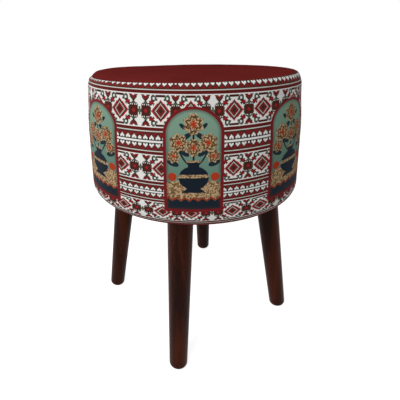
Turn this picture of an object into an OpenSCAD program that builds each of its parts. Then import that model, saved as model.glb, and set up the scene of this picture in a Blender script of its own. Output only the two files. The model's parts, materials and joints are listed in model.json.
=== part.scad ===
// Round upholstered footstool: a fabric-covered drum with a crowned top
// on four turned, tapered and splayed wooden legs.
// Millimetres, +Z up, origin on the floor under the middle of the drum.

/* [Drum] */
// Largest diameter of the covered drum, just above its lower edge
drum_d = 350; // [300:1:420]
// Height from the flat underside of the side cover up to the seam
side_h = 193; // [150:1:260]
// How far the middle of the top rises above the seam
crown_h = 7; // [3:0.5:20]
// How much the drum's radius shrinks from the lower edge to the shoulder
shoulder_in = 4; // [0:0.5:8]
// How far the seam lies inside the shoulder
seam_in = 6.5; // [4:0.5:9]
// How far the seam lies above the shoulder
seam_up = 11; // [6:0.5:20]
// Height of the soft rounding along the lower edge
edge_up = 22; // [12:1:35]

/* [Covers] */
// Thickness of the woven cover fabric
cover_t = 1.2; // [0.8:0.1:2]
// Width of the side cover's edge that is turned under the base board
turn_in = 30; // [26:1:45]
// Thickness of the non-woven dust cover
dust_t = 0.5; // [0.3:0.1:1]
// How far the dust cover's edge stays inside the base board's edge
dust_in = 9; // [6:1:12]

/* [Foam] */
// Thickness of the foam wrapped round the side
side_foam_t = 23; // [15:1:30]
// Thickness of the seat foam at its edge
seat_foam_t = 35; // [25:1:55]
// How far the seat foam's edge stays inside the seam
pad_in = 2.5; // [2:0.5:4]

/* [Frame] */
// Thickness of the plywood disc that carries the legs
base_t = 15; // [13:1:21]
// Thickness of the plywood disc under the seat foam
seat_t = 12; // [10:1:18]
// Thickness of the bent board round the frame
shell_t = 3; // [2:0.5:4]
// How far the bent board's lower edge stays above the underside
shell_lift = 1.5; // [1:0.5:3]
// Gap where the two ends of the bent board meet
shell_joint = 1; // [0.5:0.5:2]
// Width of a post between the two discs
post_w = 45; // [35:1:60]
// Thickness of a post, measured outwards
post_t = 30; // [24:1:36]
// Distance of a post's outer face from the edge of the discs
post_in = 6; // [5:1:12]

/* [Legs] */
// Height of a leg, from the floor to its sawn top
leg_h = 244.5; // [200:0.5:300]
// Diameter of a leg at its top
leg_top_d = 39; // [34:0.5:44]
// Diameter of a leg just above its rounded foot
leg_foot_d = 28; // [24:0.5:32]
// Rounding of the foot's edge
foot_round = 7; // [4:0.5:11]
// Depth of the flat that the rounded foot stands on
foot_flat = 1; // [0.5:0.1:2]
// Distance from the edge of the base board to the middle of a leg's top
leg_in = 21; // [20:1:37]
// Lean of a leg's axis out from the vertical, in degrees
leg_splay = 8.6; // [0:0.1:12]

/* [Fixings] */
// Diameter of the hanger bolt
bolt_d = 8; // [6:1:10]
// Length of the hanger bolt inside the leg
bolt_in_leg = 30; // [22:1:40]
// Length of the hanger bolt above the tee nut
bolt_out = 3; // [1:0.5:8]
// Wall of the tee nut's barrel
nut_wall = 1.2; // [0.8:0.1:2]
// Length of the tee nut's barrel below its flange
nut_barrel = 10; // [7:0.5:12]
// Diameter of the tee nut's flange
nut_flange_d = 24; // [20:1:28]
// Thickness of the tee nut's flange
nut_flange_t = 1.5; // [1:0.1:2]
// Width of a tee-nut prong at its root
prong_w = 3; // [2:0.5:4]
// Length of a tee-nut prong
prong_len = 7; // [4:0.5:9]
// Diameter of a frame screw's shank
screw_d = 4; // [3.5:0.5:5]
// Diameter of a frame screw's countersunk head
screw_head_d = 8; // [7:0.5:10]
// Length of a frame screw
screw_len = 40; // [35:1:50]
// Distance between the two screws in one end of a post
screw_pitch = 24; // [16:1:30]

/* [Clearances] */
// Gap between soft pieces, and between them and the frame
soft_gap = 0.3; // [0.2:0.1:0.5]
// Gap round a wooden piece set against another round one
wood_gap = 0.2; // [0.1:0.1:0.4]
// Gap round a thread or shank in its hole
thread_gap = 0.1; // [0.05:0.05:0.2]
// Clearance of the cut that lets a bolt through the covers
pierce_gap = 0.5; // [0.3:0.1:1]

/* [Hidden] */
$fn = 96;
sides = ["front", "right", "back", "left"];
corners = ["front_right", "back_right", "back_left", "front_left"];
leg_turns = [-90, 0, 90, 180];
post_turns = [-45, 45, 135, 225];
crown_power = 2.6;
curve_steps = 12;
drive_len = 4.6;
drive_w = 0.9;
drive_deep = 1.6;
nut_prongs = 4;
screw_tip = 5;

drum_r = drum_d / 2;
under_z = leg_h + dust_t;
board_z = under_z + cover_t;
base_top = board_z + base_t;
seam_z = under_z + side_h;
shoulder_r = drum_r - shoulder_in;
shoulder_z = seam_z - seam_up;
seam_r = shoulder_r - seam_in;
edge_z = under_z + edge_up;

shell_r = drum_r - cover_t - 2 * soft_gap - side_foam_t;
board_r = shell_r - shell_t - wood_gap;
edge_in = drum_r - board_r;

foam_inset = cover_t + soft_gap;
pad_r = seam_r - pad_in;
pad_z = seam_z - foam_inset - seat_foam_t;
seat_z = pad_z - seat_t;

post_mid_r = board_r - post_in - post_t / 2;
leg_r = board_r - leg_in;
nut_barrel_d = bolt_d + 2 * (thread_gap + nut_wall);
prong_r = (nut_barrel_d / 2 + nut_flange_d / 2) / 2;
bolt_top = base_top + nut_flange_t + bolt_out;

// Outline of the drum's side from the flat underside up to the seam,
// moved inwards by inset
function lower_edge(inset) = [
    for (i = [0:curve_steps]) let (a = 90 * i / curve_steps)
        [board_r + (edge_in - inset) * sin(a), edge_z - (edge_up - inset) * cos(a)]
];
function side_line(inset) = [
    for (i = [1:curve_steps]) let (t = i / curve_steps)
        [drum_r - inset - shoulder_in * t * t, edge_z + (shoulder_z - edge_z) * t]
];
function shoulder(inset) = [
    for (i = [1:curve_steps]) let (a = 90 * i / curve_steps)
        [seam_r + (seam_in - inset) * cos(a), shoulder_z + (seam_up - inset) * sin(a)]
];
function side_outline(inset) = concat(lower_edge(inset), side_line(inset), shoulder(inset));

// Height of the crowned top at radius r, moved down by inset
function crown_z(r, inset) = seam_z - inset + crown_h * (1 - pow(r / seam_r, crown_power));
function crown_line(r_end, inset) = [
    for (i = [0:curve_steps]) let (r = r_end * i / curve_steps) [r, crown_z(r, inset)]
];

function reversed(list) = [for (i = [len(list) - 1:-1:0]) list[i]];

// Places what stands over one leg
module at_leg(i) {
    rotate([0, 0, leg_turns[i]]) translate([leg_r, 0, 0]) children();
}

// Places what belongs to one post, with +X outwards
module at_post(i) {
    rotate([0, 0, post_turns[i]]) translate([post_mid_r, 0, 0]) children();
}

// Upper cover: one disc of fabric with its crown
module top_panel() {
    panel_r = seam_r - soft_gap;
    color("#661d1c") rotate_extrude()
        polygon(concat(crown_line(panel_r, 0), reversed(crown_line(panel_r, cover_t))));
}

// Side cover: the sleeve with its rounded lower edge and its turned-in hem
module side_cover() {
    hem_r = board_r - turn_in;
    color("#a8524c") difference() {
        rotate_extrude() polygon(concat(
            [[hem_r, under_z]], side_outline(0),
            reversed(side_outline(cover_t)), [[hem_r, board_z]]
        ));
        for (i = [0:3]) at_leg(i) bolt_pierce();
    }
}

// Cut in a cover round a hanger bolt
module bolt_pierce() {
    translate([0, 0, leg_h - cover_t]) cylinder(h = dust_t + 3 * cover_t, d = bolt_d + 2 * pierce_gap);
}

// Non-woven sheet that closes the underside
module dust_cover() {
    color("#1c1c1e") difference() {
        translate([0, 0, leg_h]) cylinder(h = dust_t, r = board_r - dust_in);
        for (i = [0:3]) at_leg(i) bolt_pierce();
    }
}

// Crowned pad on the seat board
module seat_foam() {
    color("#e8dfc4") rotate_extrude()
        polygon(concat(crown_line(pad_r, foam_inset), [[pad_r, pad_z], [0, pad_z]]));
}

// Foam wrapped round the drum, from the turned-in edge up to the seam
module side_foam() {
    color("#efe8d2") rotate_extrude() difference() {
        polygon(concat([[0, under_z + foam_inset]], side_outline(foam_inset), [[0, seam_z - foam_inset]]));
        square([shell_r + soft_gap, pad_z - soft_gap]);
        square([pad_r + soft_gap, seam_z + crown_h]);
    }
}

// Upper plywood disc with the countersunk screw holes
module seat_board() {
    color("#c9a877") difference() {
        translate([0, 0, seat_z]) cylinder(h = seat_t, r = board_r);
        for (i = [0:3]) at_post(i) screw_pair(thread_gap, pad_z, 180);
    }
}

// Lower plywood disc with the tee-nut seats and the countersunk screw holes
module base_board() {
    color("#c9a877") difference() {
        translate([0, 0, board_z]) cylinder(h = base_t, r = board_r);
        for (i = [0:3]) at_leg(i) {
            translate([0, 0, board_z - base_t]) cylinder(h = 3 * base_t, d = nut_barrel_d + 2 * thread_gap);
            prongs(thread_gap);
        }
        for (i = [0:3]) at_post(i) screw_pair(thread_gap, board_z, 0);
    }
}

// Thin board bent round both discs, its ends meeting at the back
module drum_shell() {
    bottom = board_z + shell_lift;
    color("#9a7b55") difference() {
        translate([0, 0, bottom]) cylinder(h = pad_z - bottom, r = shell_r);
        translate([0, 0, board_z]) cylinder(h = pad_z, r = shell_r - shell_t);
        translate([-shell_joint / 2, 0, board_z]) cube([shell_joint, drum_r, pad_z]);
    }
}

// Softwood upright between the discs, with planed edges and pilot holes
module post(i) {
    color("#dcc393") difference() {
        at_post(i) translate([0, 0, base_top]) linear_extrude(seat_z - base_top) post_section();
        at_post(i) screw_pair(thread_gap, board_z, 0);
        at_post(i) screw_pair(thread_gap, pad_z, 180);
    }
}

module post_section() {
    planed = 3;
    difference() {
        square([post_t, post_w], center = true);
        for (x = [-1, 1], y = [-1, 1])
            translate([x * post_t / 2, y * post_w / 2]) rotate(45)
                square(planed * sqrt(2), center = true);
    }
}

// Two screws side by side in one end of a post. grow widens them into holes.
// turned is 0 for screws that point up from height z, and 180 for down.
module screw_pair(grow, z, turned) {
    for (y = [-1, 1])
        translate([0, y * screw_pitch / 2, z]) rotate([turned, 0, 0]) screw_body(grow);
}

// Countersunk screw from its flat head at z = 0 up to its point
module screw_body(grow) {
    head_h = (screw_head_d - screw_d) / 2;
    shank = screw_d / 2 + grow;
    rotate_extrude() polygon([
        [0, 0], [screw_head_d / 2 + grow, 0], [shank, head_h],
        [shank, screw_len - screw_tip], [0, screw_len + grow]
    ]);
}

module frame_screws() {
    color("#d8b45c") for (i = [0:3]) at_post(i) {
        driven_pair(board_z, 0);
        driven_pair(pad_z, 180);
    }
}

// Screws with the cross recess in their heads
module driven_pair(z, turned) {
    for (y = [-1, 1])
        translate([0, y * screw_pitch / 2, z]) rotate([turned, 0, 0]) difference() {
            screw_body(0);
            for (a = [0, 90]) rotate(a) cube([drive_len, drive_w, 2 * drive_deep], center = true);
        }
}

// Turned leg: an even taper that ends in a rounded foot. Its axis leans out,
// its top is sawn level and its foot has a small level flat.
module leg(i) {
    foot_r = leg_foot_d / 2;
    end_r = foot_r - foot_round;
    axis_len = leg_h / cos(leg_splay);
    spare = leg_top_d;
    widen = (leg_top_d - leg_foot_d) / 2 / (axis_len - foot_round);
    end_z = foot_round * (1 - cos(leg_splay)) + end_r * sin(leg_splay) - foot_flat;
    out = (leg_h - end_z) * tan(leg_splay);
    color("#33201a") difference() {
        at_leg(i) translate([out, 0, end_z]) rotate([0, -leg_splay, 0]) rotate_extrude()
            polygon(concat(
                [[0, 0]],
                [for (k = [0:curve_steps]) let (a = 90 * k / curve_steps)
                    [end_r + foot_round * sin(a), foot_round * (1 - cos(a))]],
                [[foot_r + widen * (axis_len + spare - foot_round), axis_len + spare], [0, axis_len + spare]]
            ));
        translate([0, 0, leg_h + spare]) cube([2 * drum_d, 2 * drum_d, 2 * spare], center = true);
        translate([0, 0, -leg_h / 2]) cube([2 * drum_d, 2 * drum_d, leg_h], center = true);
        at_leg(i) hanger_bolt_body(thread_gap);
    }
}

// Hanger bolt: a wood screw below, a machine screw above
module hanger_bolt(i) {
    color("#b9bcc0") at_leg(i) hanger_bolt_body(0);
}

module hanger_bolt_body(grow) {
    r = bolt_d / 2 + grow;
    bottom = leg_h - bolt_in_leg - grow;
    taper = bolt_d;
    chamfer = bolt_d / 8;
    rotate_extrude() polygon([
        [0, bottom], [r, bottom + taper], [r, bolt_top - chamfer],
        [r - chamfer, bolt_top], [0, bolt_top]
    ]);
}

// Pronged tee nut: the flange on the base board, the barrel down in its hole
module tee_nut(i) {
    color("#c3c6ca") at_leg(i) {
        difference() {
            union() {
                translate([0, 0, base_top]) cylinder(h = nut_flange_t, d = nut_flange_d);
                translate([0, 0, base_top - nut_barrel]) cylinder(h = nut_barrel + nut_flange_t, d = nut_barrel_d);
                prongs(0);
            }
            translate([0, 0, base_top - base_t]) cylinder(h = 2 * base_t, d = bolt_d + 2 * thread_gap);
        }
    }
}

// Pointed prongs bent down from the flange. grow widens them into slots.
module prongs(grow) {
    for (k = [0:nut_prongs - 1]) rotate(360 * (k + 0.5) / nut_prongs)
        translate([prong_r + nut_flange_t / 2 + grow, 0, base_top + nut_flange_t / 2]) rotate([90, 0, -90])
            linear_extrude(nut_flange_t + 2 * grow) polygon([
                [-prong_w / 2 - grow, 0], [prong_w / 2 + grow, 0],
                [prong_w / 2 + grow, -nut_flange_t / 2], [0, -prong_len - grow],
                [-prong_w / 2 - grow, -nut_flange_t / 2]
            ]);
}

top_panel();
side_cover();
dust_cover();
seat_foam();
side_foam();
seat_board();
base_board();
drum_shell();
frame_screws();
for (i = [0:3]) {
    post(i);
    leg(i);
    hanger_bolt(i);
    tee_nut(i);
}
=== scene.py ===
"""Looks of a round upholstered footstool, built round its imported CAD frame.

Metres, +Z up, the same frame as the CAD part. The soft covers are lathed grids
that a short cloth run swells a little; the side's woven band pattern is drawn
by shader node groups from stitch and row counts.
"""

import json
import logging
import math
from dataclasses import dataclass
from enum import Enum
from typing import Callable, Dict, List, Sequence, Tuple, Union

import bmesh
import bpy
import numpy as np
from mathutils import Matrix, Vector

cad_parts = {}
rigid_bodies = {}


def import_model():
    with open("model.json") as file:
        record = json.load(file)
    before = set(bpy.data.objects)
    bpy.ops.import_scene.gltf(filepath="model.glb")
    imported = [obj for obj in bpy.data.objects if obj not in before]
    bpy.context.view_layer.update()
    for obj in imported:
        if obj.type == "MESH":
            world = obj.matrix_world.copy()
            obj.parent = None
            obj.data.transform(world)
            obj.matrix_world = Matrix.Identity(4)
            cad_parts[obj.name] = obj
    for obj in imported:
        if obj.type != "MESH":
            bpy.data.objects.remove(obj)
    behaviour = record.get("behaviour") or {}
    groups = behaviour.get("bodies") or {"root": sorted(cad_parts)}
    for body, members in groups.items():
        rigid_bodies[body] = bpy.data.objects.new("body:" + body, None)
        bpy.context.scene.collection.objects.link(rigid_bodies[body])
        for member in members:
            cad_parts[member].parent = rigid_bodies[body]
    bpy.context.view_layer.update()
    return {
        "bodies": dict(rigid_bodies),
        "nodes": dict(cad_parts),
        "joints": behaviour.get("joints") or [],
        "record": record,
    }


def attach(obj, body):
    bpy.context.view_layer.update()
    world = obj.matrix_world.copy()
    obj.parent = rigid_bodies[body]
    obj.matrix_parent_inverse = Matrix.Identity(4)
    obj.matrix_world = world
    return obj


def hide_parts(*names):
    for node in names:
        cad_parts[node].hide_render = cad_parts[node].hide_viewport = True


LOG = logging.getLogger("footstool")
MM = 0.001

# What the functions take and give
Point = Tuple[float, float]
Triple = Tuple[float, float, float]
Tone = Tuple[float, float, float, float]
Operand = Union["Num", float]
Value = Union["Num", bpy.types.NodeSocket, float, Tone]
Finishes = Dict[str, bpy.types.Material]

# Heights shared with the CAD part, in millimetres
LEG_TOP_Z = 244.5
DUST_T = 0.5
UNDER_Z = LEG_TOP_Z + DUST_T
DUST_Z = LEG_TOP_Z + DUST_T / 2
SEAM_Z = UNDER_Z + 193.0
SHOULDER_H = 11.0
SHOULDER_Z = SEAM_Z - SHOULDER_H
EDGE_H = 22.0
EDGE_Z = UNDER_Z + EDGE_H
PAD_Z = SEAM_Z - 36.5
CROWN_H = 7.0
CROWN_POWER = 2.6
# Radii, widths and thicknesses shared with the CAD part
DRUM_R = 175.0
SHOULDER_IN = 4.0
SHOULDER_W = 6.5
SEAM_R = 164.5
EDGE_W = 28.0
BOARD_R = 147.0
HEM_R = 117.0
COVER_T = 1.2
LEG_R = 126.0
LEG_SPLAY = math.radians(8.6)
PIERCE_R = 5.5
SHELL_R = 150.2
PAD_R = 162.0
FOAM_INSET = 1.5
SOFT_GAP = 0.3
DUST_R = 138.0
# Directions of the four legs from the middle
LEG_SIDES = {"front": (0, -1), "right": (1, 0), "back": (0, 1), "left": (-1, 0)}
# The flanks are drawn in from the first height up, and the pad's upright wall ends at the second
FLANK_Z = SEAM_Z - 13.5
WALL_TOP_Z = SEAM_Z - 7
# A lathed point nearer the axis than this is one point on it
AXIS_R = 0.01
# Faces no higher than this above the underside are opened for the bolts
CUT_RISE = 1.5

# The print: stitches round the drum, counted from a star's middle
STITCHES = 960
STITCHES_PER_DEG = STITCHES / 360
STAR_DEG = 16.5
# Print rows down from the first pale stripe, and arc lengths (mm) below the seam
ROWS = [-8.5, -4.1, 0, 2, 17.5, 35, 45, 55, 72.5, 90, 100, 110, 127.5, 145, 147.2, 148.6, 175]
ARCS = [0, 6.8, 11.7, 14.4, 36.5, 60.4, 74.0, 86.9, 109.0, 130.3, 141.3, 152.2, 168.2, 183.5, 186, 198, 225]
# The repeat folds at half its width, and up and down about a middle row at half its height
REPEAT_HALF = 40.0
BAND_ROW = 45.0
BAND_HALF = 27.5
# In it: the diamond's stitch, the rosette's distance from there, and half the field's height
DIAMOND_AT = 23.5
ROSETTE_OFF = 16.5
FIELD_HALF = 14.4
# Arched panels: their middle, pitch and corners
ARCH_DEG = 8.7
ARCH_PITCH = 45.0
ARCH_SPRING = UNDER_Z + 133.0
ARCH_RISE = 29.2
ARCH_HALF = 34.4
ARCH_FOOT = UNDER_Z + 33.7
# The sleeve's own seam, midway between two panels
SEAM_DEG = ARCH_DEG + 4.5 * ARCH_PITCH
# Free edge of the map for baking
BAKE_EDGE = 0.004
# Unevenness of stretched cloth: turns round, rise with height, start and size of each wave
WAVES = ((3, 0.021, 0.4, 0.40), (7, 0.034, 1.9, 0.28), (13, 0.050, 4.1, 0.20), (22, 0.016, 2.7, 0.12))


class Ink(Enum):
    """Inks of the print, in the order of the colour ramp."""

    WHITE = "#e6e4e0"
    DARK = "#2e271c"
    RED = "#7c1d20"
    BRIGHT = "#aa1e28"
    BROWN = "#5b1a18"
    PALE = "#cfcdc5"
    SAGE = "#4f5b4d"
    CURL = "#4b5247"

    @property
    def number(self) -> float:
        """The scalar that stands for this ink inside the print groups."""
        order = list(Ink)
        return (order.index(self) + 0.5) / len(order)


def rgb(code: str) -> Tone:
    """Turns a screen colour into the linear colour a shader needs.

    Args:
        code: the colour as "#rrggbb".

    Returns:
        Linear red, green, blue and an alpha of 1.
    """
    parts = [int(code[i : i + 2], 16) / 255 for i in (1, 3, 5)]
    linear = [c / 12.92 if c <= 0.04045 else ((c + 0.055) / 1.055) ** 2.4 for c in parts]
    return (linear[0], linear[1], linear[2], 1.0)


# Shader maths


def join(tree: bpy.types.NodeTree, value: Value, socket: bpy.types.NodeSocket) -> None:
    """Links a node output to a socket, or sets the socket to a constant.

    Args:
        tree: the tree that holds both.
        value: the number or output to link, or the constant.
        socket: the input that takes it.
    """
    if isinstance(value, Num):
        tree.links.new(value.out, socket)
    elif isinstance(value, bpy.types.NodeSocket):
        tree.links.new(value, socket)
    else:
        socket.default_value = value


class Num:
    """A number in a shader tree. Operators on it add Math nodes."""

    def __init__(self, tree: bpy.types.NodeTree, out: bpy.types.NodeSocket) -> None:
        """Keeps the tree and the output that carries the number."""
        self.tree, self.out = tree, out

    def op(self, name: str, *others: Operand) -> "Num":
        """Adds one Math node that has this number as its first input.

        Args:
            name: the node's operation.
            others: its other inputs.

        Returns:
            The node's result.
        """
        node = self.tree.nodes.new("ShaderNodeMath")
        node.operation = name
        for socket, value in zip(node.inputs, (self, *others)):
            join(self.tree, value, socket)
        return Num(self.tree, node.outputs[0])

    def __add__(self, other: Operand) -> "Num":
        """The sum."""
        return self.op("ADD", other)

    def __sub__(self, other: Operand) -> "Num":
        """The difference."""
        return self.op("SUBTRACT", other)

    def __rsub__(self, other: float) -> "Num":
        """A constant less this number."""
        return self.op("MULTIPLY_ADD", -1.0, other)

    def __mul__(self, other: Operand) -> "Num":
        """The product."""
        return self.op("MULTIPLY", other)

    def __truediv__(self, other: Operand) -> "Num":
        """The quotient."""
        return self.op("DIVIDE", other)

    def __abs__(self) -> "Num":
        """The number without its sign."""
        return self.op("ABSOLUTE")

    def __lt__(self, other: Operand) -> "Num":
        """1 where the number is less, else 0."""
        return self.op("LESS_THAN", other)

    def __gt__(self, other: Operand) -> "Num":
        """1 where the number is greater, else 0."""
        return self.op("GREATER_THAN", other)

    def __and__(self, other: "Num") -> "Num":
        """1 where both masks are 1."""
        return self.op("MULTIPLY", other)

    def __or__(self, other: "Num") -> "Num":
        """1 where either mask is 1."""
        return self.op("MAXIMUM", other)

    def near(self, middle: float, reach: float) -> "Num":
        """1 where the number is within reach of middle, else 0."""
        return self.op("COMPARE", middle, reach)

    def fold(self, half: float) -> "Num":
        """Folds the number to and fro between 0 and half."""
        return self.op("PINGPONG", half)

    def hypot(self, other: "Num") -> "Num":
        """Length of the vector (self, other)."""
        return (self * self + other * other).op("SQRT")

    def ease(self, low: float, high: float) -> "Num":
        """Smooth step of this number.

        Args:
            low: where the step is still 0.
            high: where it has reached 1.

        Returns:
            The step.
        """
        node = self.tree.nodes.new("ShaderNodeMapRange")
        node.interpolation_type = "SMOOTHSTEP"
        for name, value in (("Value", self), ("From Min", low), ("From Max", high)):
            join(self.tree, value, node.inputs[name])
        return Num(self.tree, node.outputs[0])

    def paint(self, mask: "Num", value: Union["Num", float, Ink]) -> "Num":
        """This number, painted over through a mask.

        Args:
            mask: 1 where the new value goes.
            value: the new value, or an ink.

        Returns:
            The painted number.
        """
        node = self.tree.nodes.new("ShaderNodeMix")
        node.data_type = "FLOAT"
        join(self.tree, mask, node.inputs[0])
        join(self.tree, self, node.inputs[2])
        join(self.tree, value.number if isinstance(value, Ink) else value, node.inputs[3])
        return Num(self.tree, node.outputs[0])


class Group:
    """A shader node group while it is being built."""

    KINDS = {"f": "NodeSocketFloat", "c": "NodeSocketColor"}

    def __init__(self, name: str, inputs: Dict[str, str], outputs: Dict[str, str]) -> None:
        """Makes the group with its sockets.

        Args:
            name: the group's name.
            inputs: kind of each input by name, "f" for a number and "c" for a colour.
            outputs: kind of each output by name.
        """
        self.tree = bpy.data.node_groups.new(name, "ShaderNodeTree")
        for way, sockets in (("INPUT", inputs), ("OUTPUT", outputs)):
            for label, kind in sockets.items():
                self.tree.interface.new_socket(label, in_out=way, socket_type=self.KINDS[kind])
        self.enter = self.tree.nodes.new("NodeGroupInput")
        self.leave = self.tree.nodes.new("NodeGroupOutput")

    def number(self, name: str) -> Num:
        """One of the group's inputs as a number."""
        return Num(self.tree, self.enter.outputs[name])

    def give(self, name: str, value: Value) -> None:
        """Sets one of the group's outputs."""
        join(self.tree, value, self.leave.inputs[name])


def call(
    tree: bpy.types.NodeTree, group: bpy.types.NodeTree, **inputs: Value
) -> bpy.types.NodeOutputs:
    """Puts a group into a tree.

    Args:
        tree: the tree that uses the group.
        group: the group.
        inputs: value of each of its inputs by name.

    Returns:
        The group's outputs.
    """
    node = tree.nodes.new("ShaderNodeGroup")
    node.node_tree = group
    for name, value in inputs.items():
        join(tree, value, node.inputs[name])
    return node.outputs


def painter(name: str, draw: Callable[[Num, Num, Num], Num]) -> bpy.types.NodeTree:
    """Makes a motif group, which takes Across, Down and the ink so far.

    Args:
        name: the group's name.
        draw: the function that draws the motif over that ink.

    Returns:
        The group, which gives the new ink.
    """
    group = Group(name, {"Across": "f", "Down": "f", "Ink": "f"}, {"Ink": "f"})
    group.give("Ink", draw(group.number("Across"), group.number("Down"), group.number("Ink")))
    return group.tree


def blend(
    tree: bpy.types.NodeTree, factor: Value, first: Value, second: Value, mode: str = "MIX"
) -> bpy.types.NodeSocket:
    """Mixes two colours.

    Args:
        tree: the tree to work in.
        factor: 0 for the first colour, 1 for the second.
        first: the first colour.
        second: the second colour.
        mode: the mix node's blend type.

    Returns:
        The mixed colour.
    """
    node = tree.nodes.new("ShaderNodeMix")
    node.data_type, node.blend_type = "RGBA", mode
    for index, value in ((0, factor), (6, first), (7, second)):
        join(tree, value, node.inputs[index])
    return node.outputs[2]


def seen_white(tree: bpy.types.NodeTree) -> Num:
    """Picks the rays that see the studio as white: camera, glossy and transmitted ones.

    Args:
        tree: the tree to work in.

    Returns:
        1 for those rays, else 0.
    """
    rays = tree.nodes.new("ShaderNodeLightPath").outputs
    kinds = ("Camera", "Glossy", "Transmission")
    camera, glossy, through = (Num(tree, rays[f"Is {kind} Ray"]) for kind in kinds)
    return camera | glossy | through


def noise(
    tree: bpy.types.NodeTree,
    vector: bpy.types.NodeSocket,
    scale: float,
    detail: float = 3.0,
    rough: float = 0.5,
) -> Num:
    """Adds a noise texture.

    Args:
        tree: the tree to work in.
        vector: the place it is read at.
        scale: how fine it is, per metre.
        detail: octaves.
        rough: strength of the finer octaves.

    Returns:
        The noise, about 0 to 1.
    """
    node = tree.nodes.new("ShaderNodeTexNoise")
    join(tree, vector, node.inputs["Vector"])
    for name, value in (("Scale", scale), ("Detail", detail), ("Roughness", rough)):
        node.inputs[name].default_value = value
    return Num(tree, node.outputs[0])


def scaled(
    tree: bpy.types.NodeTree,
    vector: bpy.types.NodeSocket,
    scale: Triple,
    turn: Triple = (0.0, 0.0, 0.0),
) -> bpy.types.NodeSocket:
    """Turns and stretches a vector by one Mapping node.

    Args:
        tree: the tree to work in.
        vector: the vector.
        scale: factor along each axis.
        turn: rotation about each axis, in radians.

    Returns:
        The new vector.
    """
    node = tree.nodes.new("ShaderNodeMapping")
    node.vector_type = "POINT"
    join(tree, vector, node.inputs["Vector"])
    node.inputs["Scale"].default_value = scale
    node.inputs["Rotation"].default_value = turn
    return node.outputs[0]


def split(tree: bpy.types.NodeTree, vector: bpy.types.NodeSocket) -> Tuple[Num, Num, Num]:
    """Takes a vector apart.

    Args:
        tree: the tree to work in.
        vector: the vector.

    Returns:
        Its three numbers.
    """
    node = tree.nodes.new("ShaderNodeSeparateXYZ")
    join(tree, vector, node.inputs[0])
    return tuple(Num(tree, out) for out in node.outputs)


# Print motifs, their numbers counted in stitches across and rows down


def draw_zigzag(across: Num, down: Num, ink: Num) -> Num:
    """Row of hearts and triangles with its border stripes, out from its middle.

    Args:
        across: stitches from the repeat's edge.
        down: rows from the row's middle.
        ink: the ink so far.

    Returns:
        The ink with the motif on it.
    """
    side = (across - 3.0).fold(3.5)
    heart = 3.5 - side
    ink = ink.paint(down.near(5.2, 4.0), Ink.DARK)
    ink = ink.paint(((down + heart) < 6.2) & (down > 2.0) & (heart < 2.9), Ink.WHITE)
    ink = ink.paint((heart < 0.9) & (down < 3.1) & (down > 2.0), Ink.DARK)
    ink = ink.paint(((down - side * 1.2) > 3.7) & (down < 7.9), Ink.RED)
    ink = ink.paint(down.near(9.5, 0.3), Ink.PALE)
    return ink.paint(down.near(11.5, 1.2), Ink.BROWN)


def draw_diamond(across: Num, down: Num, ink: Num) -> Num:
    """Nested diamond, from its rim to its middle.

    Args:
        across: stitches from its middle.
        down: rows from its middle.
        ink: the ink so far.

    Returns:
        The ink with the motif on it.
    """
    rings = ((1.0, Ink.BRIGHT), (0.83, Ink.DARK), (0.64, Ink.PALE), (0.52, Ink.RED), (0.25, Ink.DARK))
    reach = across / 10.2 + down / 9.9
    for limit, colour in rings:
        ink = ink.paint(reach < limit, colour)
    return ink


def draw_rosette(across: Num, down: Num, ink: Num) -> Num:
    """Square rosette with the bow and the notched triangle beyond it.

    Args:
        across: stitches from its middle.
        down: rows from its middle.
        ink: the ink so far.

    Returns:
        The ink with the motif on it.
    """
    chequer = (across + down - 0.5).fold(1.0) > 0.5
    body = (across / 5.1).op("MAXIMUM", down / 4.8)
    ink = ink.paint((body < 1.3) & (across < 4.6) & chequer, Ink.DARK)
    ink = ink.paint(body < 1.0, Ink.DARK)
    ink = ink.paint((body < 1.0) & chequer, Ink.BROWN)
    ink = ink.paint((across / 2.1 + down / 2.6) < 1.0, Ink.BRIGHT)
    ink = ink.paint((across < (9.1 - down)) & down.near(6.5, 0.8), Ink.CURL)
    slope = (down - 7.1) * 0.9 - across
    ink = ink.paint((slope > 0.0) & (down < 13.5), Ink.DARK)
    ink = ink.paint((slope > 1.7) & (down < 13.5), Ink.RED)
    return ink.paint((across < (down - 11.7)) & (down < 13.5), Ink.WHITE)


def draw_sprigs(across: Num, down: Num, ink: Num) -> Num:
    """Bar, leaf, curls and lens that stand round a diamond.

    Args:
        across: stitches from the diamond's middle.
        down: rows from the diamond's middle.
        ink: the ink so far.

    Returns:
        The ink with the motifs on it.
    """
    chequer = (across + down).fold(1.0) > 0.5
    bar = down.near(12.5, 0.8) & (across < 5.5)
    ink = ink.paint(bar, Ink.DARK)
    ink = ink.paint(bar & chequer, Ink.BROWN)
    curl = ((across - 7.6) * 0.8).hypot(down - 10.6)
    ink = ink.paint(curl.near(1.8, 0.85), Ink.CURL)
    ink = ink.paint((across - 4.6).hypot(down - 9.6) < 1.5, Ink.CURL)
    x, y = (across - 9.9) * 0.55, (down - 7.0) * 0.72
    leaf = ((x - y) / 3.0).hypot((x + y) / 2.3)
    ink = ink.paint((leaf < 1.1) & chequer, Ink.DARK)
    ink = ink.paint(leaf < 0.85, Ink.DARK)
    ink = ink.paint(leaf < 0.66, Ink.RED)
    ink = ink.paint(leaf < 0.36, Ink.BRIGHT)
    ink = ink.paint(across.near(11.0, 0.6) & (down < 3.4), Ink.SAGE)
    lens = ((across > 22.2) & (down < 3.4)) | ((across > 21.2) & (down < 1.6))
    return ink.paint(lens, Ink.SAGE)


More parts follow.
